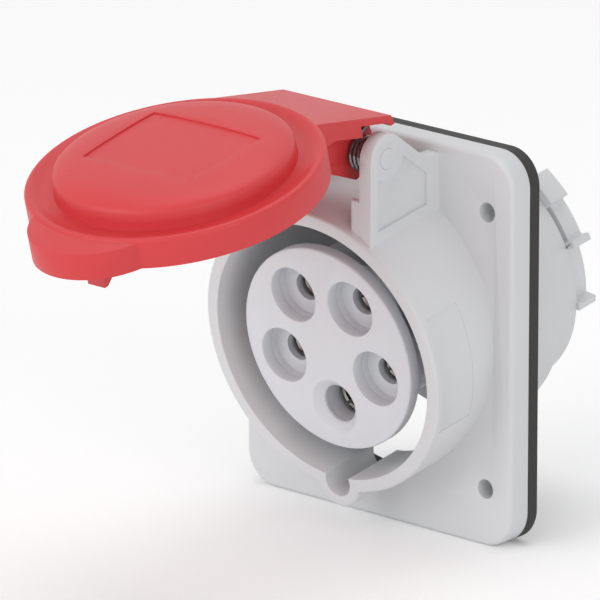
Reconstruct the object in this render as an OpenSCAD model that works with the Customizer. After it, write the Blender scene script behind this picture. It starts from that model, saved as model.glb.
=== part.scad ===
// Industrial panel socket: a five-contact round socket whose axis leans ten
// degrees on a rectangular flange, closed by a sprung, hinged lid.
//
// Frame: X to the right of someone who faces the socket, Z up, Y into the
// panel. The origin is the middle of the four fixing holes, on the back face
// of the flange. The socket's own frame (on_axis) leans with the socket: its
// x is X, its y points up across the face and its z points out of the socket.
// The lid's own frame (on_lid) has the hinge axis along x, its z out of the
// lid's top and its y from the lid towards the panel.

/* [Flange] */
// Width of the flange
flange_w = 74; // [68:1:84]
// Height of the flange
flange_h = 85; // [82:1:96]
// Depth of the flange's rim, front to back
flange_t = 5.4; // [4.5:0.1:7]
// Thickness of the flange's front skin
flange_skin = 2.7; // [2:0.1:3.5]
// Width of the flange's rim, seen from behind
flange_rim_w = 2.6; // [2:0.1:3.2]
// Corner radius of the flange
flange_corner_r = 7.5; // [5:0.5:10]
// Radius of the flange's front edge
flange_edge_r = 1.1; // [0.5:0.1:1.5]
// Distance between the fixing holes, across and up
hole_pitch = 60; // [58:0.5:62]
// Diameter of the fixing holes
hole_d = 4.2; // [3.5:0.1:5]
// Wall of the boss round each fixing hole
hole_boss_wall = 1.9; // [1.5:0.1:2.5]

/* [Flange gasket] */
// Thickness of the flange gasket
gasket_t = 3; // [1.5:0.1:4]
// Width of the gasket beside its round opening
gasket_side_w = 2.8; // [2:0.1:3.2]
// Height of the opening's centre above the origin
gasket_opening_z = 0.8; // [0.4:0.1:1.4]

/* [Socket] */
// Lean of the socket's axis
tilt = 10; // [6:1:14]
// Height at which the axis crosses the back of the flange
axis_z = 1.75; // [1:0.25:2.5]
// Distance along the axis from the back of the flange to the shroud's rim
rim_reach = 23.5; // [21:0.5:27]
// Inner radius of the shroud
shroud_bore_r = 28.85; // [28.5:0.05:29.2]
// Wall of the shroud
shroud_wall = 2.95; // [2.4:0.05:3.4]
// Radius of the shroud's rim edge
rim_edge_r = 0.6; // [0.3:0.1:1]
// Radius of the keyway's round floor
keyway_r = 3.35; // [3:0.05:3.8]
// Distance of the keyway's round floor from the axis
keyway_offset = 29.95; // [29.5:0.05:30.4]
// Wall round the keyway
keyway_wall = 2.45; // [2:0.05:3]
// Depth of the bare marking panel on the shroud's side
panel_depth = 0.25; // [0.15:0.05:0.4]
// Half of the angle that the marking panel covers
panel_half_angle = 24; // [18:1:28]
// Length of the marking panel along the axis
panel_len = 9.6; // [7:0.2:11]
// Distance of the marking panel behind the rim
panel_set_back = 1.9; // [1.5:0.1:3]

/* [Rear cup] */
// Outer radius of the cup's front stage
cup_r = 30.6; // [30:0.1:31.2]
// Distance of the front stage's end behind the flange
cup_len = 17.4; // [15:0.2:20]
// Outer radius of the cup's rear stage
throat_r = 27.5; // [26.5:0.1:28.5]
// Distance of the rear stage's end behind the flange
throat_len = 26.7; // [24:0.1:30]
// Wall of the cup's rear stage
throat_wall = 2; // [1.6:0.1:2.6]
// Thickness of the lip that the terminal block seats on
seat_t = 2; // [1.5:0.1:2.5]
// Width of that lip
seat_w = 2; // [1.5:0.1:2.6]
// Half of the angle of the open bottom of the front stage
window_half_angle = 36; // [30:1:42]

/* [Contact carrier] */
// Radius of the carrier's face
face_r = 22.7; // [22:0.1:23.4]
// Distance of the face behind the rim
face_set_back = 1.9; // [1.5:0.1:3]
// Thickness of the face's plate
face_t = 2.9; // [2.4:0.1:4]
// Radius of the face's edge
face_edge_r = 0.5; // [0.3:0.1:0.8]
// Radius of the circle that the contacts stand on
contact_circle_r = 13.34; // [13:0.02:13.8]
// Radius of the recess in front of each contact
recess_r = 6.1; // [5.8:0.1:6.4]
// Depth of the flat recess of a phase or neutral contact
recess_depth = 4.6; // [3.5:0.1:5.5]
// Depth of the earth contact's cone
earth_cone_depth = 1.8; // [1.2:0.1:2.5]
// Radius of the hole in front of a phase or neutral contact
phase_hole_r = 3.05; // [2.9:0.05:3.3]
// Radius of the hole in front of the earth contact
earth_hole_r = 4.15; // [4:0.05:4.4]
// Floor under each recess
recess_floor = 1.5; // [1.2:0.1:2.2]
// Wall of the contact tubes
tube_wall = 1.15; // [1:0.05:1.4]
// Radius of the core behind the plate
core_r = 5.8; // [5.5:0.1:6]
// Step from the tubes' rear ends to the rear of the core
core_step = 1.5; // [1:0.5:3]

/* [Contacts] */
// Bore radius of a phase or neutral sleeve
phase_bore_r = 2.55; // [2.5:0.01:2.65]
// Bore radius of the earth sleeve
earth_bore_r = 3.55; // [3.5:0.01:3.65]
// Wall of a sleeve
sleeve_wall = 0.75; // [0.6:0.05:0.9]
// Distance of the sleeve's mouth behind the recess floor
sleeve_set_back = 1; // [0.6:0.1:2]
// Length of the slots in a sleeve
sleeve_slot_len = 12; // [9:0.5:14]
// Width of the slots in a sleeve
sleeve_slot_w = 0.8; // [0.6:0.1:1]
// Thickness of a spring ring
clip_t = 0.45; // [0.3:0.05:0.5]
// Width of a spring ring
clip_w = 3.2; // [2.5:0.1:4]
// Distance of a spring ring behind the sleeve's mouth
clip_set_back = 2; // [1:0.1:3]
// Thickness of the collar that traps a contact
collar_t = 1.6; // [1.2:0.1:2]
// Height of that collar above the contact's stem
collar_h = 0.9; // [0.7:0.1:1.1]
// Length of a terminal behind the collar
terminal_len = 11; // [10:0.5:14]
// Radius of the wire hole in a terminal
wire_hole_r = 1.6; // [1.3:0.1:1.8]
// Depth of the wire hole in a terminal
wire_hole_len = 7; // [6:0.5:7.5]
// Distance of a sleeve's blind end behind the collar
sleeve_end = 1.9; // [1.5:0.1:2.4]
// Thread radius of a terminal screw
terminal_screw_r = 1.5; // [1.3:0.1:1.6]
// Radius of a terminal screw's head
terminal_screw_head_r = 2.4; // [2.1:0.1:2.6]
// Thickness of a terminal screw's head
terminal_screw_head_t = 1.1; // [0.8:0.1:1.2]
// Distance of the terminal screws behind the collar
terminal_screw_set_back = 5; // [4:0.5:6]
// Clearance between a contact and the plastic round it
contact_gap = 0.1; // [0.05:0.05:0.2]

/* [Terminal block] */
// Distance of the block's front behind the flange
block_front = 8; // [7:0.5:10]
// Radius of the block's front part
block_r = 19.2; // [18.8:0.1:19.8]
// Thickness of the block's seating disc
block_disc_t = 4.6; // [4:0.1:5.2]
// Clearance round the block's seating disc
block_gap = 0.2; // [0.1:0.05:0.3]
// Radius of the block's rear boss
boss_r = 20.6; // [20:0.1:21.5]
// Distance of the block's rear face behind the flange
block_rear = 35; // [34:0.5:38]
// Radius of the wire entry's mouth
wire_entry_r = 3; // [2.5:0.1:3.5]
// Radius of the two assembly screws
assembly_screw_r = 1.4; // [1.2:0.1:1.5]
// Distance of the assembly screws from the axis
assembly_screw_offset = 3; // [2.8:0.1:3.4]
// Depth of the assembly screws' holes in the core
assembly_hole_len = 12; // [11:0.5:16]

/* [Locking ring] */
// Clearance between the ring and the block's boss
ring_gap = 0.1; // [0.05:0.05:0.2]
// Outer radius of the ring's plain rear
ring_r = 22.8; // [22.4:0.1:23.4]
// Distance of the ring's rear face behind the flange
ring_rear = 32.3; // [31:0.1:33.5]
// Width of the slot beside the latch
latch_slot_w = 1.2; // [0.8:0.1:1.8]
// Outer radius of the ring's low sector
low_r = 25.6; // [25:0.1:26.2]
// Outer radius of the latch
latch_r = 27.5; // [26.8:0.1:28]
// Outer radius of the lug
lug_r = 29.5; // [28.5:0.1:30]
// Height of the lower grip rib above the low sector
low_rib_h = 2.6; // [1.5:0.1:3]
// Height of the upper grip rib above the latch
latch_rib_h = 2.2; // [1.5:0.1:2.4]
// Half of the angle of a grip rib
rib_half_angle = 1.6; // [1.2:0.1:2.4]
// Angle at which the low sector starts
low_start = -10; // [-16:1:-4]
// Angle at which the latch starts
latch_start = 19; // [14:1:24]
// Angle at which the lug starts
lug_start = 38; // [34:1:42]
// Angle at which the lug ends
lug_end = 52; // [48:1:58]

/* [Hinge] */
// Height of the hinge above the socket's axis, across the face
pin_rise = 43.8; // [43:0.1:45]
// Distance of the hinge behind the rim's plane
pin_set_back = 9.3; // [8.6:0.1:9.8]
// Radius of the hinge pin
pin_r = 2.2; // [1.8:0.1:2.4]
// Clearance of the pin in the ears
pin_gap = 0.05; // [0.02:0.01:0.08]
// Clearance of the lid's barrel on the pin
barrel_gap = 0.08; // [0.05:0.01:0.1]
// Radius of the ears' round tops
ear_r = 5.3; // [5:0.1:5.6]
// Thickness of an ear
ear_t = 3.1; // [2.6:0.1:3.5]
// Distance between the ears
ear_gap = 27.6; // [26.6:0.2:28.6]
// Slope of the ears' rear edges
ear_slope = 36.5; // [30:0.5:42]
// Distance from the hinge down to the ledge behind an ear
ear_ledge_drop = 2; // [1:0.1:3]
// Depth of the pocket in an ear's outer face
ear_pocket_depth = 0.8; // [0.5:0.1:1.2]
// Width of the border round that pocket
ear_border = 2.5; // [2:0.1:3]
// Wire radius of the lid spring
spring_wire_r = 0.5; // [0.4:0.05:0.6]
// Length of the spring's leg along the post
spring_leg = 11.6; // [10:0.2:12]
// Distance of the post's round top below the hinge
post_drop = 9; // [8.6:0.2:10]
// Turns of the lid spring
spring_turns = 3; // [2:1:4]
// Mean radius of the lid spring's coils
spring_r = 3.4; // [3.1:0.1:3.6]

/* [Lid] */
// Angle between the lid as drawn and the closed lid
lid_open = 86; // [60:1:100]
// Gap between the closed lid and the rim
lid_gap = 0.3; // [0.3:0.05:0.6]
// Radius of the lid's cap
lid_r = 31.15; // [30.8:0.05:31.6]
// Height of the cap's wall
lid_h = 6.4; // [6:0.1:7.2]
// Wall of the cap below its top
lid_wall = 1.1; // [1:0.05:1.4]
// Radius of the cap's top edge
lid_edge_r = 0.9; // [0.5:0.1:1.2]
// Depth of the ring valley below the cap's edge
valley_depth = 1.2; // [0.9:0.1:1.5]
// Radius of the valley's slope
valley_r = 6; // [5:0.5:8]
// Radius of the raised dome
dome_r = 25; // [24:0.1:25.6]
// Height of the dome's edge above the cap's edge
dome_step = 1.8; // [1.4:0.1:2.2]
// Height of the dome's middle above its edge
dome_crown = 3.2; // [2:0.1:4.2]
// Lean of the dome, its front edge up
dome_lean = 1.2; // [0:0.2:2]
// Width of the bare marking field on the dome
field_w = 29.5; // [24:0.5:32]
// Length of the marking field, from the hinge towards the tab
field_l = 22; // [18:0.5:26]
// Depth of the marking field
field_depth = 0.4; // [0.2:0.05:0.6]
// Radius of the thumb tab
tab_r = 15; // [13:0.5:17]
// Reach of the thumb tab beyond the cap
tab_reach = 6.8; // [5:0.2:8]
// Step from the cap's edge down to the tab
tab_drop = 0.6; // [0.3:0.1:1]
// Wall of the tab and of the arm
tab_wall = 1.6; // [1.3:0.1:2]
// Width of the arm
arm_w = 29.8; // [28:0.2:31]
// Slope of the arm down to the hinge
arm_slope = 20.9; // [16:0.5:24]
// Distance of the arm's end beyond the hinge
arm_tail = 5.2; // [4:0.2:6]
// Depth of the lip at the arm's end
arm_lip = 2.2; // [1.5:0.1:2.6]
// Radius of the barrel
barrel_r = 5.2; // [4.6:0.1:5.4]
// Reach of the barrel's block from the hinge towards the cap
block_reach = 10.3; // [9:0.1:10.4]
// Gap between the lid and the ears, and between the spring and its neighbours
side_gap = 0.3; // [0.3:0.05:0.5]
// Half width of the plug catch
catch_half_w = 2.3; // [1.8:0.1:2.8]
// Thickness of the plug catch
catch_t = 2.2; // [1.6:0.1:2.6]
// Reach of the plug catch below the cap's wall
catch_reach = 7.2; // [5:0.2:8]
// Inner radius of the lid gasket
lid_gasket_in_r = 27.9; // [27.6:0.1:28.3]
// Outer radius of the lid gasket
lid_gasket_out_r = 30; // [29.6:0.1:30.2]
// Thickness of the lid gasket
lid_gasket_t = 2.2; // [1.6:0.1:2.6]

/* [Hidden] */
$fn = 96;

overlap = 0.01;                      // joins solids that share a face
far = 200;                           // larger than the part
housing_color = "#d3d5d7";
carrier_color = "#c9cbce";
rubber_color = "#38322f";
brass_color = "#c9a24b";
steel_color = "#9da1a6";
lid_color = "#d0494c";

shroud_r = shroud_bore_r + shroud_wall;
keyway_outer_r = keyway_r + keyway_wall;
skin_back = -(flange_t - flange_skin);         // Y of the skin's back face
throat_bore_r = throat_r - throat_wall;
gasket_opening_r = flange_w / 2 - gasket_side_w;

// Heights in the socket's own frame, above the point where the axis meets the flange's back
rim_h = rim_reach;
face_h = rim_h - face_set_back;
plate_rear_h = face_h - face_t;
recess_h = face_h - recess_depth;              // floor of the phase recesses
tube_front_h = recess_h - recess_floor;        // where the contact chambers start
block_front_h = -block_front;
seat_h = -cup_len;                             // where the block's disc seats
disc_rear_h = seat_h - block_disc_t;
sleeve_mouth_h = tube_front_h - sleeve_set_back;
collar_h0 = block_front_h - collar_t;          // rear face of the contacts' collars

// Contacts in order from six o'clock, clockwise as seen from the front
contact_angle = [-90, -162, 126, 54, -18];
contact_is_earth = [true, false, false, false, false];

// The hinge's place in the world, from its place in the socket's frame
pin_h = rim_h - pin_set_back;
pin_y = -pin_h * cos(tilt) - pin_rise * sin(tilt);
pin_z = axis_z + pin_rise * cos(tilt) - pin_h * sin(tilt);
ear_in = ear_gap / 2;
ear_out = ear_in + ear_t;
lid_z0 = pin_set_back + lid_gap;               // bottom of the cap's wall in the lid's frame
lid_top = lid_z0 + lid_h;
arm_half = arm_w / 2;
arm_root = pin_rise - sqrt(lid_r * lid_r - arm_half * arm_half);  // where the arm's corners meet the cap
arm_z_at_pin = lid_top - lid_edge_r / 2 - arm_root * tan(arm_slope);
spring_pitch = 2 * spring_wire_r + 0.15;
spring_room = spring_pitch * spring_turns + 2 * spring_wire_r + 2 * side_gap;

// Height of the shroud's outside below the hinge, in line with the ears' outer faces
shroud_floor_z = (sqrt(shroud_r * shroud_r - ear_out * ear_out) - pin_rise) / cos(tilt);

function bore_r(i) = contact_is_earth[i] ? earth_bore_r : phase_bore_r;
function sleeve_r(i) = bore_r(i) + sleeve_wall;
function chamber_r(i) = sleeve_r(i) + clip_t + contact_gap;
function tube_r(i) = chamber_r(i) + tube_wall;
function arc(x, y, r, a0, a1, n) = [
    for (i = [0:n])
        let (a = a0 + (a1 - a0) * i / n)
        [x + r * cos(a), y + r * sin(a)]];

module on_axis() translate([0, 0, axis_z]) rotate([90 + tilt, 0, 0]) children();
module on_lid() translate([0, pin_y, pin_z]) rotate([90 + tilt - lid_open, 0, 0]) children();
module at_contact(i) rotate([0, 0, contact_angle[i]]) translate([contact_circle_r, 0, 0]) children();

// A tube or disc about the socket's axis, from height z0 up to z1
module turned(r, z0, z1) translate([0, 0, z0]) cylinder(r = r, h = z1 - z0);

// An outline drawn in (y, z) and stretched along x from x0 to x1
module along_x(x0, x1) translate([x0, 0, 0]) rotate([90, 0, 90]) linear_extrude(x1 - x0) children();

// An outline drawn in (x, z) and stretched along y from y0 to y1
module along_y(y0, y1) translate([0, y1, 0]) rotate([90, 0, 0]) linear_extrude(y1 - y0) children();

module both_sides() {
    children();
    mirror([1, 0, 0]) children();
}

// Everything behind (side 1) or in front of (side -1) a plane of constant Y
module half_space(y, side) translate([-far / 2, side > 0 ? y : y - far, -far / 2]) cube(far);

// A wedge about the axis between two angles, from height z0 up to z1
module wedge(a0, a1, z0, z1) translate([0, 0, z0]) linear_extrude(z1 - z0)
    polygon([[0, 0], far * [cos(a0), sin(a0)],
             far * 1.5 * [cos((a0 + a1) / 2), sin((a0 + a1) / 2)],
             far * [cos(a1), sin(a1)]]);

// ---------------------------------------------------------------- flange

module rounded_outline(w, h, r) {
    square([w - 2 * r, h], center = true);
    square([w, h - 2 * r], center = true);
    for (sx = [-1, 1], sz = [-1, 1]) translate([sx * (w / 2 - r), sz * (h / 2 - r)]) circle(r);
}

module at_fixings() for (sx = [-1, 1], sz = [-1, 1])
    translate([sx * hole_pitch / 2, 0, sz * hole_pitch / 2]) children();

// Section of the flange's edge: square at the back, rounded at the front
module flange_edge_section(r) polygon(concat([[0, 0], [r, 0]],
    arc(r - flange_edge_r, flange_t - flange_edge_r, flange_edge_r, 0, 90, 6), [[0, flange_t]]));

module flange_body() rotate([90, 0, 0]) {
    r = flange_corner_r;
    w = flange_w / 2 - r;
    h = flange_h / 2 - r;
    translate([-w, -h, 0]) cube([2 * w, 2 * h, flange_t]);
    for (q = [0:3]) {
        sx = (q == 0 || q == 3) ? 1 : -1;
        sz = (q < 2) ? 1 : -1;
        translate([sx * w, sz * h, 0]) rotate([0, 0, 90 * q])
            rotate_extrude(angle = 90) flange_edge_section(r);
    }
    for (s = [0, 180]) rotate([0, 0, s]) {
        translate([w, h, 0]) rotate([90, 0, 0]) linear_extrude(2 * h) flange_edge_section(r);
        translate([-w, h, 0]) rotate([90, 0, 90]) linear_extrude(2 * w) flange_edge_section(r);
    }
}

// The hollow behind the skin, inside the flange's rim and round the fixing bosses
module flange_hollow() difference() {
    along_y(skin_back, overlap) rounded_outline(flange_w - 2 * flange_rim_w, flange_h - 2 * flange_rim_w,
                                                flange_corner_r - flange_rim_w);
    at_fixings() rotate([90, 0, 0]) cylinder(r = hole_d / 2 + hole_boss_wall, h = far, center = true);
}

// ---------------------------------------------------------------- housing

module shroud_outside() {
    rotate_extrude() polygon(concat([[0, -cup_len / 2], [shroud_r, -cup_len / 2]],
        arc(shroud_r - rim_edge_r, rim_h - rim_edge_r, rim_edge_r, 0, 90, 5), [[0, rim_h]]));
    translate([0, -keyway_offset, 0]) rotate_extrude() polygon(concat(
        [[0, -cup_len / 2], [keyway_outer_r, -cup_len / 2]],
        arc(keyway_outer_r - rim_edge_r, rim_h - rim_edge_r, rim_edge_r, 0, 90, 5), [[0, rim_h]]));
}

module cup_outside() {
    turned(cup_r, -cup_len, rim_h / 2);
    turned(throat_r, -throat_len, -cup_len + overlap);
}

module ear_outline(r) {
    slope_n = [sin(ear_slope), cos(ear_slope)];
    ledge_y = (r + ear_ledge_drop * slope_n[1]) / slope_n[0];
    back = -flange_t - pin_y + flange_skin / 2;
    foot = -0.6 * pin_rise;
    circle(r);
    polygon([[-r, 0], [-r, foot], [back, foot],
             [back, -ear_ledge_drop], [ledge_y, -ear_ledge_drop], r * slope_n]);
}

// The sunk field in an ear's outer face: between the pin's boss and a border of even width
module ear_pocket_outline() {
    slope_n = [sin(ear_slope), cos(ear_slope)];
    inner = ear_r - ear_border;
    front = -ear_r + ear_border;
    back = -flange_t - pin_y - 1.5 * ear_border;
    floor_z = shroud_floor_z + ear_border;
    difference() {
        polygon([[front, floor_z + front * tan(tilt)], [back, floor_z + back * tan(tilt)],
                 [back, (inner - back * slope_n[0]) / slope_n[1]], inner * slope_n, [0, 0], [front, 0]]);
        circle(ear_r - 0.4);
    }
}
module ears() translate([0, pin_y, pin_z]) both_sides() difference() {
    along_x(ear_in, ear_out) ear_outline(ear_r);
    along_x(ear_out - ear_pocket_depth, ear_out + 1) ear_pocket_outline();
}

// The post beside the right ear that holds the spring's leg
module spring_post() translate([0, pin_y, pin_z]) {
    front = -ear_r;
    back = -spring_r - spring_wire_r - 0.1;
    mid = (front + back) / 2;
    foot = sqrt(shroud_r * shroud_r - ear_in * ear_in) - pin_rise - 1;
    along_x(ear_in - 2.2, ear_in + overlap)
        polygon(concat([[front, foot], [back, foot]], arc(mid, -post_drop, (back - front) / 2, 0, 180, 6)));
}

module marking_panel() difference() {
    intersection() {
        wedge(-panel_half_angle, panel_half_angle,
              rim_h - panel_set_back - panel_len, rim_h - panel_set_back);
        turned(shroud_r + 1, 0, rim_h);
    }
    turned(shroud_r - panel_depth, -1, rim_h + 1);
}

module housing() color(housing_color) difference() {
    union() {
        difference() {
            flange_body();
            flange_hollow();
        }
        intersection() {
            on_axis() shroud_outside();
            half_space(skin_back, -1);
        }
        intersection() {
            on_axis() difference() {
                cup_outside();
                wedge(-90 - window_half_angle, -90 + window_half_angle, -cup_len + seat_t, rim_h);
            }
            half_space(skin_back - overlap, 1);
        }
        ears();
        spring_post();
    }
    on_axis() {
        turned(shroud_bore_r, -cup_len + seat_t, rim_h + 1);
        turned(throat_bore_r - seat_w, -cup_len - 1, rim_h);
        turned(throat_bore_r, -throat_len - 1, -cup_len);
        translate([0, -keyway_offset, 0]) turned(keyway_r, skin_back, rim_h + 1);
        marking_panel();
    }
    at_fixings() rotate([90, 0, 0]) cylinder(r = hole_d / 2, h = far, center = true);
    translate([0, pin_y, pin_z]) rotate([0, 90, 0])
        cylinder(r = pin_r + pin_gap, h = 2 * ear_out + 2, center = true);
}

module flange_gasket() color(rubber_color) difference() {
    along_y(0, gasket_t) rounded_outline(flange_w, flange_h, flange_corner_r);
    translate([0, 0, gasket_opening_z]) rotate([90, 0, 0])
        cylinder(r = gasket_opening_r, h = far, center = true);
    at_fixings() rotate([90, 0, 0]) cylinder(r = hole_d / 2, h = far, center = true);
}

// ---------------------------------------------------------------- carrier and contacts

// The face's plate and the core behind it that the assembly screws bite into
module contact_carrier() color(carrier_color) on_axis() difference() {
    union() {
        rotate_extrude() polygon(concat([[0, plate_rear_h], [face_r, plate_rear_h]],
            arc(face_r - face_edge_r, face_h - face_edge_r, face_edge_r, 0, 90, 5), [[0, face_h]]));
        turned(core_r, block_front_h + core_step, face_h - face_t / 2);
    }
    for (i = [0:4]) at_contact(i) {
        if (contact_is_earth[i]) {
            turned(earth_hole_r, plate_rear_h - 1, face_h + 1);
            translate([0, 0, face_h - earth_cone_depth])
                cylinder(r1 = earth_hole_r, r2 = 2 * recess_r - earth_hole_r, h = 2 * earth_cone_depth);
        } else turned(recess_r, plate_rear_h - 1, face_h + 1);
    }
    at_assembly_screws() turned(assembly_screw_r + contact_gap / 2, block_front_h - 1,
                                block_front_h + assembly_hole_len);
}

// A tube behind each hole of the plate: the recess's floor and the chamber of the contact
module contact_tubes() color(carrier_color) on_axis() for (i = [0:4]) at_contact(i) difference() {
    union() {
        turned(tube_r(i), block_front_h, plate_rear_h);
        if (!contact_is_earth[i]) turned(recess_r + tube_wall, tube_front_h - 0.5, plate_rear_h);
    }
    turned(chamber_r(i), block_front_h - 1, tube_front_h);
    if (contact_is_earth[i]) turned(earth_hole_r, tube_front_h - 1, plate_rear_h + 1);
    else {
        turned(phase_hole_r, tube_front_h - 1, plate_rear_h + 1);
        turned(recess_r, recess_h, plate_rear_h + 1);
    }
}

module contact(i) color(brass_color) on_axis() at_contact(i) difference() {
    union() {
        turned(sleeve_r(i), block_front_h - overlap, sleeve_mouth_h);
        turned(sleeve_r(i) + collar_h, collar_h0, block_front_h);
        turned(sleeve_r(i), collar_h0 - terminal_len, collar_h0 + overlap);
    }
    turned(bore_r(i), collar_h0 - sleeve_end, sleeve_mouth_h + 1);
    translate([0, 0, sleeve_mouth_h])
        cylinder(r1 = bore_r(i), r2 = bore_r(i) + sleeve_wall, h = sleeve_wall, center = true);
    for (a = [45, 135]) rotate([0, 0, a])
        translate([-far / 2, -sleeve_slot_w / 2, sleeve_mouth_h - sleeve_slot_len])
            cube([far, sleeve_slot_w, sleeve_slot_len + 1]);
    turned(wire_hole_r, collar_h0 - terminal_len - 1, collar_h0 - terminal_len + wire_hole_len);
    at_terminal_screw() cylinder(r = terminal_screw_r + contact_gap / 2, h = far);
}

module at_terminal_screw() translate([0, 0, collar_h0 - terminal_screw_set_back])
    rotate([0, 90, 0]) children();

// A split spring ring round the sleeve
module clip(i) color(steel_color) on_axis() at_contact(i) difference() {
    turned(sleeve_r(i) + clip_t, sleeve_mouth_h - clip_set_back - clip_w, sleeve_mouth_h - clip_set_back);
    turned(sleeve_r(i), -far, far);
    translate([0, -0.5, -far / 2]) cube([far, 1, far]);
}

module terminal_screws() color(steel_color) on_axis() for (i = [0:4]) at_contact(i) at_terminal_screw() {
    tip = wire_hole_r / 2;
    seat = sleeve_r(i) + 2 * contact_gap;
    difference() {
        union() {
            translate([0, 0, tip]) cylinder(r = terminal_screw_r, h = seat - tip + overlap);
            translate([0, 0, seat]) cylinder(r = terminal_screw_head_r, h = terminal_screw_head_t);
        }
        translate([-far / 2, -0.35, seat + terminal_screw_head_t / 3])
            cube([far, 0.7, terminal_screw_head_t]);
    }
}

module terminal_block() color(carrier_color) on_axis() difference() {
    union() {
        turned(block_r, seat_h - overlap, block_front_h);
        turned(throat_bore_r - block_gap, disc_rear_h, seat_h);
        turned(boss_r, -block_rear, disc_rear_h + overlap);
    }
    for (i = [0:4]) at_contact(i) {
        turned(sleeve_r(i) + collar_h + contact_gap, collar_h0, block_front_h + 1);
        turned(sleeve_r(i) + contact_gap, collar_h0 - terminal_len, collar_h0 + 1);
        turned(wire_hole_r + 0.4, -block_rear - 1, collar_h0);
        translate([0, 0, -block_rear])
            cylinder(r1 = 2 * wire_entry_r - wire_hole_r - 0.4, r2 = wire_hole_r + 0.4, h = 6, center = true);
        at_terminal_screw() cylinder(r = terminal_screw_head_r + contact_gap, h = far);
    }
    at_assembly_screws() {
        turned(assembly_screw_r + contact_gap, -block_rear - 1, block_front_h + 1);
        turned(assembly_screw_r * 2, -block_rear - 1, -block_rear + 3);
    }
}

module at_assembly_screws() for (s = [-1, 1]) translate([s * assembly_screw_offset, 0, 0]) children();

module assembly_screws() color(steel_color) on_axis() at_assembly_screws() difference() {
    union() {
        turned(assembly_screw_r, -block_rear + 1, block_front_h + assembly_hole_len - 2);
        turned(assembly_screw_r * 1.9, -block_rear + 1, -block_rear + 3);
    }
    translate([-far / 2, -0.4, -block_rear]) cube([far, 0.8, 1.9]);
}

// ---------------------------------------------------------------- locking ring

module ring_sector(r, a0, a1, front) intersection() {
    turned(r, -ring_rear, front);
    wedge(a0, a1, -ring_rear - 1, front + 1);
}

module grip_rib(r, a, front) ring_sector(r, a - rib_half_angle, a + rib_half_angle, front);

module locking_ring() color(housing_color) on_axis() difference() {
    sector_front = -throat_len - ring_gap / 2;
    union() {
        turned(throat_bore_r - block_gap / 2, sector_front, disc_rear_h);
        turned(ring_r, -ring_rear, disc_rear_h);
        both_sides() {
            ring_sector(low_r, low_start, latch_start, sector_front);
            ring_sector(latch_r, latch_start, lug_start, sector_front - latch_slot_w);
            ring_sector(lug_r, lug_start, lug_end, sector_front);
            grip_rib(low_r + low_rib_h, low_start, sector_front);
            grip_rib(latch_r + latch_rib_h, latch_start, sector_front);
        }
    }
    turned(boss_r + ring_gap, -far, far);
}

// ---------------------------------------------------------------- hinge

module hinge_pin() color(housing_color) translate([0, pin_y, pin_z]) rotate([0, 90, 0])
    cylinder(r = pin_r, h = 2 * ear_out, center = true);

// Points along the lid spring's wire: a leg under the arm's tail, the coils, a leg down to the post
spring_x0 = ear_in - spring_room + side_gap + spring_wire_r;
spring_tip_y = 0.75 * arm_tail;
spring_tip_z = arm_z(spring_tip_y) - tab_wall / cos(arm_slope) - spring_wire_r - 0.1;
lid_turn = 90 + tilt - lid_open;
spring_tip = [spring_tip_y * cos(lid_turn) - spring_tip_z * sin(lid_turn),
              spring_tip_y * sin(lid_turn) + spring_tip_z * cos(lid_turn)];
coil_start = atan2(spring_tip[1], spring_tip[0]) + acos(spring_r / norm(spring_tip));
coil_sweep = 180 + 360 * spring_turns - coil_start;
coil_steps = 16 * spring_turns + 2;
function coil_point(t) = let (a = coil_start + coil_sweep * t)
    [spring_x0 + spring_pitch * spring_turns * t, spring_r * cos(a), spring_r * sin(a)];
spring_path = concat(
    [[spring_x0, spring_tip[0], spring_tip[1]]],
    [for (k = [0:coil_steps]) coil_point(k / coil_steps)],
    [for (k = [1:3]) [spring_x0 + spring_pitch * spring_turns, -spring_r, -k * spring_leg / 3]]);

function unit(v) = v / norm(v);
wire_sides = 8;
module lid_spring() color(steel_color) translate([0, pin_y, pin_z]) {
    n = len(spring_path);
    rings = [for (i = [0:n - 1])
        let (ahead = spring_path[min(i + 1, n - 1)], behind = spring_path[max(i - 1, 0)],
             along = unit(ahead - behind), side = unit(cross(along, [1, 0.02, 0.03])),
             over = cross(along, side))
        for (k = [0:wire_sides - 1])
            let (a = 360 * k / wire_sides)
            spring_path[i] + spring_wire_r * (cos(a) * side + sin(a) * over)];
    sides = [for (i = [0:n - 2], k = [0:wire_sides - 1]) let (k1 = (k + 1) % wire_sides)
        [i * wire_sides + k, i * wire_sides + k1, (i + 1) * wire_sides + k1, (i + 1) * wire_sides + k]];
    first = [for (k = [wire_sides - 1:-1:0]) k];
    last = [for (k = [0:wire_sides - 1]) (n - 1) * wire_sides + k];
    polyhedron(points = rings, faces = concat([first], sides, [last]));
}

// ---------------------------------------------------------------- lid

// Outline of the cap, turned about its axis: wall, rounded edge, valley
module cap_section() polygon(concat([[0, 0], [lid_r, 0]],
    arc(lid_r - lid_edge_r, lid_h - lid_edge_r, lid_edge_r, 0, 110, 7),
    arc(dome_r + 1.2, lid_h - valley_depth + valley_r, valley_r, -57, -90, 4),
    [[0, lid_h - valley_depth]]));

// Outline of the dome: a steep step, then a crown with full shoulders
function dome_z(x) = lid_h + dome_step + dome_crown * sqrt(1 - pow(x / dome_r, 4));
module dome_section() polygon(concat(
    [[0, lid_h - valley_depth - 1], [dome_r + 0.3, lid_h - valley_depth - 1]],
    [for (k = [1, 0.99, 0.97, 0.94, 0.9, 0.85, 0.78, 0.68, 0.55, 0.4, 0.2]) [dome_r * k, dome_z(dome_r * k)]],
    [[0, dome_z(0.2 * dome_r)]]));

module on_cap() on_lid() translate([0, -pin_rise, lid_z0]) children();

// Height of the arm's top in the lid's frame, and the end of the arm inside the cap's wall
function arm_z(y) = arm_z_at_pin - y * tan(arm_slope);
arm_front = -arm_root - 0.7;

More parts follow.
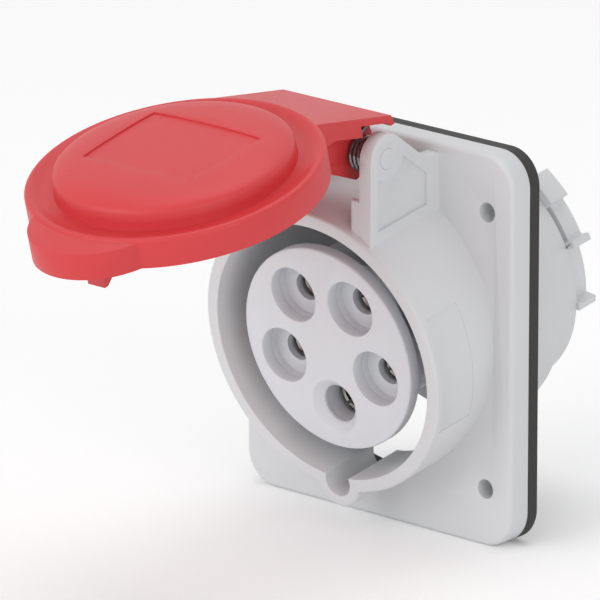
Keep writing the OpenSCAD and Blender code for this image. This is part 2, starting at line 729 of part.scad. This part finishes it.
module arm_plate_outline() {
    wall = tab_wall / cos(arm_slope);
    polygon([[arm_tail, arm_z(arm_tail)], [arm_front, arm_z(arm_front)], [arm_front, arm_z(arm_front) - wall],
             [arm_tail - tab_wall, arm_z(arm_tail - tab_wall) - wall],
             [arm_tail - 0.6, arm_z(arm_tail) - arm_lip], [arm_tail + 0.6, arm_z(arm_tail) - arm_lip]]);
}

module arm_side_outline() {
    back = -ear_r + 1.3;
    over_rim = shroud_r - pin_rise;
    front = arm_front + 0.1;
    polygon([[back, arm_z(back) - 0.2], [front, arm_z(front) - 0.2], [front, lid_z0],
             [over_rim, lid_z0], [back, ear_r + 1.2]]);
}

module barrel_block_outline() {
    front = -block_reach;
    polygon([[barrel_r, 0], [0.2 * barrel_r, -0.98 * barrel_r], [-0.37 * barrel_r, -1.08 * barrel_r],
             [front + 0.9, -0.6], [front, 1.2], [front, arm_z(front) - 0.5],
             [0.8 * barrel_r, arm_z(0.8 * barrel_r) - 0.5]]);
}

module arm() {
    along_x(-arm_half, arm_half) arm_plate_outline();
    both_sides() along_x(arm_half - tab_wall, arm_half) arm_side_outline();
    along_x(side_gap - ear_in, ear_in - spring_room) {
        circle(barrel_r);
        barrel_block_outline();
    }
}

module tab_outline(inset) difference() {
    translate([0, -lid_r - tab_reach + tab_r]) circle(tab_r - inset);
    circle(lid_r - lid_edge_r);
}

// The bare marking field: a rectangle sunk evenly into the crown
module marking_field() rotate([-dome_lean, 0, 0]) difference() {
    translate([-field_w / 2, -field_l / 2, lid_h]) cube([field_w, field_l, far]);
    translate([0, 0, -field_depth]) rotate_extrude() dome_section();
}

// The catch that holds a plug by its skirt, on the side of the tab
module plug_catch() translate([0, -lid_gasket_in_r + 0.4, 0]) along_x(-catch_half_w, catch_half_w)
    polygon([[0, cavity_h + 0.5], [0, -catch_reach], [catch_t * 0.5, -catch_reach],
             [catch_t + 0.9, -catch_reach + 1.6], [catch_t + 0.9, -catch_reach + 2.4],
             [catch_t, -catch_reach + 2.8], [catch_t, cavity_h + 0.5]]);
cavity_h = lid_h - valley_depth - 1.5;

module lid() color(lid_color) {
    difference() {
        union() {
            on_cap() {
                rotate_extrude() cap_section();
                rotate([-dome_lean, 0, 0]) rotate_extrude() dome_section();
                linear_extrude(lid_h - tab_drop) tab_outline(0);
            }
            difference() {
                on_lid() arm();
                on_cap() cylinder(r = lid_r - 1.5, h = far, center = true);
            }
        }
        on_cap() {
            turned(lid_gasket_out_r + 0.05, -1, lid_gasket_t);
            turned(lid_gasket_in_r - 0.2, -1, cavity_h);
            turned(dome_r - 2.4, -1, lid_h + 1);
            translate([0, 0, -1]) linear_extrude(lid_h - tab_drop - tab_wall + 1) difference() {
                tab_outline(tab_wall);
                circle(lid_r);
            }
            marking_field();
        }
        on_lid() rotate([0, 90, 0]) cylinder(r = pin_r + barrel_gap, h = far, center = true);
    }
    on_cap() plug_catch();
}

module lid_gasket() color(rubber_color) on_cap() difference() {
    turned(lid_gasket_out_r, 0, lid_gasket_t);
    turned(lid_gasket_in_r, -1, lid_gasket_t + 1);
}

// ---------------------------------------------------------------- nodes

module contact_earth() contact(0);
module contact_l1() contact(1);
module contact_l2() contact(2);
module contact_l3() contact(3);
module contact_neutral() contact(4);
module clip_earth() clip(0);
module clip_l1() clip(1);
module clip_l2() clip(2);
module clip_l3() clip(3);
module clip_neutral() clip(4);

housing();
flange_gasket();
contact_carrier();
contact_tubes();
terminal_block();
locking_ring();
contact_l1();
contact_l2();
contact_l3();
contact_neutral();
contact_earth();
clip_l1();
clip_l2();
clip_l3();
clip_neutral();
clip_earth();
terminal_screws();
assembly_screws();
hinge_pin();
lid_spring();
lid();
lid_gasket();
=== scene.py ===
"""Dresses the industrial panel socket: softened mouldings, materials, camera and stage."""

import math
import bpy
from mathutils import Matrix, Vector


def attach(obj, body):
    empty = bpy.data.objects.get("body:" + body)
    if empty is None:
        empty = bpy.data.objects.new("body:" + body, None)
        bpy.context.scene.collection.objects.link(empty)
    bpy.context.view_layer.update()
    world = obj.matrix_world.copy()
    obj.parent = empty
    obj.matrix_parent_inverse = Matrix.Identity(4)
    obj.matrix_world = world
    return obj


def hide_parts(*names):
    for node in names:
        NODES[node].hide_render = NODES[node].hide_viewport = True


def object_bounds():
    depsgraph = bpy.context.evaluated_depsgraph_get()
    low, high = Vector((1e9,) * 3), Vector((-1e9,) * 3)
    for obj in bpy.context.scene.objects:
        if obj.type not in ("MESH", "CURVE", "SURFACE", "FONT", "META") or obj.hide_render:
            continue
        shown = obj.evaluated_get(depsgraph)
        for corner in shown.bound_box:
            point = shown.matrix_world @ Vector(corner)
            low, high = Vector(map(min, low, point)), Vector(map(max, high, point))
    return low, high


bl_info = {
    "name": "Industrial Panel Socket",
    "version": (1, 0, 0),
    "blender": (4, 5, 0),
    "location": "3D View > Sidebar > Socket",
    "description": "Dresses the packed model of an industrial panel socket with a hinged lid",
    "category": "Object",
}

import bmesh
import bpy
from bpy.props import FloatProperty, FloatVectorProperty, PointerProperty, StringProperty
from mathutils import Vector

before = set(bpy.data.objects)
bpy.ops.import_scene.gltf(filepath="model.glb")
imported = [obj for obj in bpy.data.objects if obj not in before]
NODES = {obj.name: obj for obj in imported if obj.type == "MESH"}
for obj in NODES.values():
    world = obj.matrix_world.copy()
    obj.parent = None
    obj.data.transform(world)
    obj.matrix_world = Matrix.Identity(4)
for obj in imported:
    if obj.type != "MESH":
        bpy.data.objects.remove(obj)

CAD_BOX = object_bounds()
MM = 0.001

SLEEVES = ("l1", "l2", "l3", "neutral", "earth")
SOCKET_BODY = "socket"
LID_BODY = "lid"

# Lamps: name, place from the camera's aim in metres, diameter in metres, power in watts.
LAMPS = (
    ("key", (-0.35, -1.25, 0.55), 1.2, 6.6),
    ("fill", (1.1, -0.5, 0.3), 1.0, 2.9),
    ("top", (-0.1, 0.2, 1.3), 1.0, 4.0),
)
# Light that the room gives from all sides, against 1 for the white that the camera sees.
ROOM_LIGHT = 0.55
FLOOR_HALF = 6.0


# ---------------------------------------------------------------- materials


# Real sizes that the patterns' scales come from.
EROSION_GRAIN = 0.25 * MM
MELT_DRIFT = 45 * MM
RUBBER_BLOOM = 4 * MM
PLATING_STAIN = 3 * MM
# Feed rings of the lathe, drawn about six times coarser than real ones so that they show.
SLEEVE_FEED = 0.9425 * MM
SCREW_FEED = 1.2566 * MM
# Length in metres of one wave of the wave pattern at scale 1.
WAVE_LENGTH = 2 * math.pi / 20


def linear(hex_colour):
    """An sRGB hex value as a linear colour with alpha."""
    parts = [int(hex_colour[i : i + 2], 16) / 255 for i in (1, 3, 5)]
    return [c / 12.92 if c <= 0.04045 else ((c + 0.055) / 1.055) ** 2.4 for c in parts] + [1.0]


def new_material(name, **shader):
    """An empty Principled material and its tree. Settings are given by the sockets' names."""
    material = bpy.data.materials.new(name)
    material.use_nodes = True
    tree = material.node_tree
    principled = tree.nodes["Principled BSDF"]
    for key, value in shader.items():
        principled.inputs[key.replace("_", " ")].default_value = value
    return material, tree, principled


def add(tree, kind, links=None, **settings):
    """Adds a node. Settings are its attributes or sockets, links are socket: (node, output)."""
    node = tree.nodes.new(kind)
    for key, value in settings.items():
        if key in node.inputs:
            node.inputs[key].default_value = value
        elif key.replace("_", " ") in node.inputs:
            node.inputs[key.replace("_", " ")].default_value = value
        else:
            setattr(node, key, value)
    for key, (source, output) in (links or {}).items():
        tree.links.new(source.outputs[output], node.inputs[key])
    return node


def ramp(tree, source, output, stops):
    """A colour ramp over (position, colour) stops."""
    node = add(tree, "ShaderNodeValToRGB", {"Fac": (source, output)})
    elements = node.color_ramp.elements
    while len(elements) < len(stops):
        elements.new(0.5)
    for element, (position, colour) in zip(elements, stops):
        element.position = position
        element.color = colour
    return node


def grey(value):
    return (value, value, value, 1.0)


def shade(hex_colour, factor):
    """A hex colour made lighter or darker, as a linear colour."""
    return [min(1.0, c * factor) for c in linear(hex_colour)[:3]] + [1.0]


def moulded_plastic(name, colour, roughness, relief):
    """Injection-moulded polyamide from a spark-eroded mould.

    The fine erosion grain breaks the gloss into an even satin, and slow drifts of tone follow the
    flow of the melt.
    """
    material, tree, principled = new_material(name, IOR=1.49)
    place = add(tree, "ShaderNodeTexCoord")
    drift = add(tree, "ShaderNodeTexNoise", {"Vector": (place, "Object")}, Scale=1 / MELT_DRIFT, Detail=2.0)
    tone = ramp(tree, drift, "Fac", [(0.3, shade(colour, 0.97)), (0.7, shade(colour, 1.03))])
    tree.links.new(tone.outputs["Color"], principled.inputs["Base Color"])
    local = {"Vector": (place, "Object")}
    erosion = add(tree, "ShaderNodeTexNoise", local, Scale=1 / EROSION_GRAIN, Detail=3.0)
    gloss = ramp(tree, erosion, "Fac", [(0.3, grey(roughness - 0.06)), (0.7, grey(roughness + 0.06))])
    tree.links.new(gloss.outputs["Color"], principled.inputs["Roughness"])
    bump = add(tree, "ShaderNodeBump", {"Height": (erosion, "Fac")}, Strength=relief, Distance=0.02 * MM)
    tree.links.new(bump.outputs["Normal"], principled.inputs["Normal"])
    return material


def moulded_rubber(name, colour):
    """Die-cut EPDM sheet: deep brown-black, dull, with a fine dusty bloom in its skin."""
    material, tree, principled = new_material(name, IOR=1.52)
    place = add(tree, "ShaderNodeTexCoord")
    bloom = add(tree, "ShaderNodeTexNoise", {"Vector": (place, "Object")}, Scale=1 / RUBBER_BLOOM, Detail=5.0)
    tone = ramp(tree, bloom, "Fac", [(0.35, shade(colour, 0.85)), (0.7, shade(colour, 1.25))])
    tree.links.new(tone.outputs["Color"], principled.inputs["Base Color"])
    gloss = ramp(tree, bloom, "Fac", [(0.3, grey(0.62)), (0.7, grey(0.78))])
    tree.links.new(gloss.outputs["Color"], principled.inputs["Roughness"])
    bump = add(tree, "ShaderNodeBump", {"Height": (bloom, "Fac")}, Strength=0.25, Distance=0.05 * MM)
    tree.links.new(bump.outputs["Normal"], principled.inputs["Normal"])
    return material


def turned_metal(name, colour, roughness, pitch):
    """Metal off the lathe: fine feed rings across the axis, which draw the highlight out along them."""
    material, tree, principled = new_material(name, Metallic=1.0)
    place = add(tree, "ShaderNodeTexCoord")
    local = {"Vector": (place, "Object")}
    rings = add(
        tree,
        "ShaderNodeTexWave",
        local,
        bands_direction="Y",
        Scale=WAVE_LENGTH / pitch,
        Distortion=0.4,
        Detail=2.0,
    )
    stain = add(tree, "ShaderNodeTexNoise", local, Scale=1 / PLATING_STAIN, Detail=3.0)
    tone = ramp(tree, stain, "Fac", [(0.3, shade(colour, 0.88)), (0.7, shade(colour, 1.06))])
    tree.links.new(tone.outputs["Color"], principled.inputs["Base Color"])
    gloss = ramp(tree, rings, "Fac", [(0.0, grey(roughness - 0.05)), (1.0, grey(roughness + 0.08))])
    tree.links.new(gloss.outputs["Color"], principled.inputs["Roughness"])
    bump = add(tree, "ShaderNodeBump", {"Height": (rings, "Fac")}, Strength=0.2, Distance=0.01 * MM)
    tree.links.new(bump.outputs["Normal"], principled.inputs["Normal"])
    return material


MATERIALS = {}


def material(key):
    """The finish of that name, made once."""
    look = bpy.context.scene.socket_looks
    makers = {
        "housing": lambda: moulded_plastic("housing_satin_pa", look.housing_colour, 0.42, 0.25),
        "insert": lambda: moulded_plastic("insert_satin_pa", look.insert_colour, 0.40, 0.2),
        "lid": lambda: moulded_plastic("lid_satin_red_pa", look.lid_colour, 0.46, 0.3),
        "rubber": lambda: moulded_rubber("gasket_epdm", look.rubber_colour),
        "sleeve": lambda: turned_metal("sleeve_nickel_plate", look.sleeve_colour, 0.34, SLEEVE_FEED),
        "steel": lambda: turned_metal("zinc_plated_steel", look.steel_colour, 0.38, SCREW_FEED),
    }
    if key not in MATERIALS:
        MATERIALS[key] = makers[key]()
    return MATERIALS[key]


# ---------------------------------------------------------------- shapes


# Edges sharper than this are rounded, and faces that meet at less than the crease shade as one.
SHARP = math.radians(32)
CREASE = math.radians(35)
FLAT = math.radians(0.3)
WELD = 0.001 * MM


def dress(obj, key):
    """Gives a piece or a CAD node one finish."""
    obj.data.materials.clear()
    obj.data.materials.append(material(key))
    return obj


def finish_mesh(name, bm, key, body):
    """Makes a bmesh a piece that rides on a body, with smooth shading up to the crease angle."""
    mesh = bpy.data.meshes.new(name)
    bm.to_mesh(mesh)
    bm.free()
    obj = bpy.data.objects.new(name, mesh)
    bpy.context.scene.collection.objects.link(obj)
    for polygon in mesh.polygons:
        polygon.use_smooth = True
    mesh.set_sharp_from_angle(angle=CREASE)
    dress(obj, key)
    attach(obj, body)
    return obj


def merged_copy(node):
    """A bmesh of a CAD node with its triangles joined and flat faces dissolved."""
    bm = bmesh.new()
    bm.from_mesh(NODES[node].data)
    bmesh.ops.remove_doubles(bm, verts=bm.verts, dist=WELD)
    bmesh.ops.dissolve_limit(bm, angle_limit=FLAT, verts=bm.verts, edges=bm.edges)
    return bm


def round_edges(bm, width):
    """Rounds every sharp edge."""
    bm.normal_update()
    edges = [e for e in bm.edges if e.is_manifold and e.calc_face_angle(0) > SHARP]
    bmesh.ops.bevel(
        bm,
        geom=edges,
        offset=width,
        offset_type="OFFSET",
        segments=2,
        profile=0.5,
        affect="EDGES",
        clamp_overlap=True,
        material=-1,
    )


def softened(node, name, key, body, width):
    """A moulded piece that stands for a CAD node: the same solid with its edges rounded."""
    bm = merged_copy(node)
    round_edges(bm, width)
    obj = finish_mesh(name, bm, key, body)
    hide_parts(node)
    return obj


# ---------------------------------------------------------------- settings


class SocketLooks(bpy.types.PropertyGroup):
    """Colours and edge rounding of the mouldings."""

    housing_colour: StringProperty(name="Housing", description="sRGB hex of the housing", default="#d6d7d9")
    insert_colour: StringProperty(
        name="Insert", description="sRGB hex of the contact carrier", default="#d8dade"
    )
    lid_colour: StringProperty(name="Lid", description="sRGB hex of the lid", default="#d2383c")
    rubber_colour: StringProperty(name="Rubber", description="sRGB hex of the gaskets", default="#2c2a29")
    sleeve_colour: StringProperty(
        name="Sleeves", description="sRGB hex of the plated sleeves", default="#a19d97"
    )
    steel_colour: StringProperty(
        name="Steel", description="sRGB hex of springs and screws", default="#85878a"
    )
    edge: FloatProperty(
        name="Edge", description="Rounding of the mouldings' edges", default=0.18 * MM, min=0.0, unit="LENGTH"
    )


class SocketStage(bpy.types.PropertyGroup):
    """Camera and floor."""

    azimuth: FloatProperty(
        name="Azimuth",
        description="Side the camera stands on",
        default=math.radians(41.769),
        subtype="ANGLE",
    )
    elevation: FloatProperty(
        name="Elevation",
        description="Height of the camera's stand",
        default=math.radians(16.883),
        subtype="ANGLE",
    )
    distance: FloatProperty(name="Distance", description="Camera to aim", default=1.8597, unit="LENGTH")
    lens: FloatProperty(name="Lens", description="Focal length in millimetres", default=531.7)
    aim: FloatVectorProperty(
        name="Aim",
        description="Point that the camera looks at",
        default=(-0.01549, -0.01241, 0.00354),
        subtype="XYZ",
    )
    floor_lift: FloatProperty(
        name="Floor lift", description="Brightness added to the floor as it is seen", default=0.1
    )
    floor_colour: StringProperty(name="Floor", description="sRGB hex of the floor", default="#ffffff")


# ---------------------------------------------------------------- operators


class SOCKET_OT_housing(bpy.types.Operator):
    """Softens the housing's edges"""

    bl_idname = "socket.housing"
    bl_label = "Housing"

    def execute(self, context):
        softened("housing", "housing_moulding", "housing", SOCKET_BODY, context.scene.socket_looks.edge)
        return {"FINISHED"}


class SOCKET_OT_inserts(bpy.types.Operator):
    """Softens the contact carrier and the locking ring, and finishes the tubes and the terminal block"""

    bl_idname = "socket.inserts"
    bl_label = "Inserts"

    def execute(self, context):
        edge = context.scene.socket_looks.edge
        softened("contact_carrier", "carrier_moulding", "insert", SOCKET_BODY, edge)
        softened("locking_ring", "ring_moulding", "housing", SOCKET_BODY, edge)
        for node in ("contact_tubes", "terminal_block"):
            dress(NODES[node], "insert")
        return {"FINISHED"}


class SOCKET_OT_metal(bpy.types.Operator):
    """Finishes the sleeves, their spring rings, the screws, the pin and the spring"""

    bl_idname = "socket.metal"
    bl_label = "Metal parts"

    def execute(self, context):
        for sleeve in SLEEVES:
            dress(NODES[f"contact_{sleeve}"], "sleeve")
            dress(NODES[f"clip_{sleeve}"], "steel")
        for node in ("terminal_screws", "assembly_screws", "lid_spring"):
            dress(NODES[node], "steel")
        dress(NODES["hinge_pin"], "housing")
        return {"FINISHED"}


class SOCKET_OT_gaskets(bpy.types.Operator):
    """Finishes the flange gasket and the lid's gasket ring"""

    bl_idname = "socket.gaskets"
    bl_label = "Gaskets"

    def execute(self, context):
        dress(NODES["flange_gasket"], "rubber")
        dress(NODES["lid_gasket"], "rubber")
        return {"FINISHED"}


class SOCKET_OT_lid(bpy.types.Operator):
    """Softens the lid's edges"""

    bl_idname = "socket.lid"
    bl_label = "Lid"

    def execute(self, context):
        softened("lid", "lid_moulding", "lid", LID_BODY, context.scene.socket_looks.edge)
        return {"FINISHED"}


class SOCKET_OT_stage(bpy.types.Operator):
    """Sets up the camera, the lights and the floor"""

    bl_idname = "socket.stage"
    bl_label = "Stage"

    def execute(self, context):
        stage = context.scene.socket_stage
        self.camera(context, stage)
        self.lights(context, stage)
        self.floor(context, stage)
        context.scene.view_settings.view_transform = "Standard"
        return {"FINISHED"}

    def camera(self, context, stage):
        data = bpy.data.cameras.new("camera")
        data.lens = stage.lens
        data.sensor_width = 36
        data.clip_start = 0.05
        data.clip_end = 20
        camera = bpy.data.objects.new("camera", data)
        context.scene.collection.objects.link(camera)
        level = math.cos(stage.elevation)
        back = Vector(
            (
                math.sin(stage.azimuth) * level,
                -math.cos(stage.azimuth) * level,
                math.sin(stage.elevation),
            )
        )
        camera.location = Vector(stage.aim) + back * stage.distance
        camera.rotation_mode = "QUATERNION"
        camera.rotation_quaternion = (-back).to_track_quat("-Z", "Y")
        context.scene.camera = camera

    def seen(self, tree):
        """A node that is 1 for what is seen, straight or in a reflection, and 0 for light on the socket."""
        path = add(tree, "ShaderNodeLightPath")
        shown = {0: (path, "Is Camera Ray"), 1: (path, "Is Glossy Ray")}
        shown = add(tree, "ShaderNodeMath", shown, operation="MAXIMUM")
        return add(
            tree, "ShaderNodeMath", {0: (shown, 0), 1: (path, "Is Transmission Ray")}, operation="MAXIMUM"
        )

    def lights(self, context, stage):
        aim = Vector(stage.aim)
        for name, place, size, power in LAMPS:
            data = bpy.data.lights.new(name, "AREA")
            data.shape = "DISK"
            data.size = size
            data.energy = power
            lamp = bpy.data.objects.new(name, data)
            context.scene.collection.objects.link(lamp)
            lamp.location = aim + Vector(place)
            lamp.rotation_mode = "QUATERNION"
            lamp.rotation_quaternion = Vector(place).to_track_quat("Z", "Y")
        world = bpy.data.worlds.new("studio")
        world.use_nodes = True
        background = world.node_tree.nodes["Background"]
        background.inputs["Color"].default_value = (1, 1, 1, 1)
        tree = world.node_tree
        shown = {"Value": (self.seen(tree), 0)}
        strength = add(tree, "ShaderNodeMapRange", shown, To_Min=ROOM_LIGHT, To_Max=1.0)
        tree.links.new(strength.outputs["Result"], background.inputs["Strength"])
        context.scene.world = world

    def floor(self, context, stage):
        bm = bmesh.new()
        bmesh.ops.create_grid(bm, x_segments=1, y_segments=1, size=FLOOR_HALF)
        low = CAD_BOX[0].z
        bmesh.ops.translate(bm, verts=bm.verts, vec=(0, 0, low))
        mesh = bpy.data.meshes.new("floor")
        bm.to_mesh(mesh)
        bm.free()
        floor = bpy.data.objects.new("floor", mesh)
        context.scene.collection.objects.link(floor)
        colour = linear(stage.floor_colour)
        look, tree, principled = new_material(
            "floor_paper", Roughness=0.9, Base_Color=colour, Emission_Color=colour
        )
        shown = {"Value": (self.seen(tree), 0)}
        lift = add(tree, "ShaderNodeMapRange", shown, To_Min=0.0, To_Max=stage.floor_lift)
        tree.links.new(lift.outputs["Result"], principled.inputs["Emission Strength"])
        mesh.materials.append(look)


class SOCKET_PT_panel(bpy.types.Panel):
    """Lists the socket's pieces and settings"""

    bl_idname = "SOCKET_PT_panel"
    bl_label = "Panel socket"
    bl_space_type = "VIEW_3D"
    bl_region_type = "UI"
    bl_category = "Socket"

    def draw(self, context):
        for settings in (context.scene.socket_looks, context.scene.socket_stage):
            column = self.layout.column()
            for name in settings.__annotations__:
                column.prop(settings, name)
        for operator in PIECES:
            self.layout.operator(operator.bl_idname)


PIECES = (
    SOCKET_OT_housing,
    SOCKET_OT_inserts,
    SOCKET_OT_metal,
    SOCKET_OT_gaskets,
    SOCKET_OT_lid,
    SOCKET_OT_stage,
)
CLASSES = (SocketLooks, SocketStage, *PIECES, SOCKET_PT_panel)


def register():
    for cls in CLASSES:
        bpy.utils.register_class(cls)
    bpy.types.Scene.socket_looks = PointerProperty(type=SocketLooks)
    bpy.types.Scene.socket_stage = PointerProperty(type=SocketStage)


def unregister():
    del bpy.types.Scene.socket_stage
    del bpy.types.Scene.socket_looks
    for cls in reversed(CLASSES):
        bpy.utils.unregister_class(cls)


def main():
    register()
    bpy.ops.socket.housing()
    bpy.ops.socket.inserts()
    bpy.ops.socket.metal()
    bpy.ops.socket.gaskets()
    bpy.ops.socket.lid()
    bpy.ops.socket.stage()


if __name__ == "__main__":
    main()
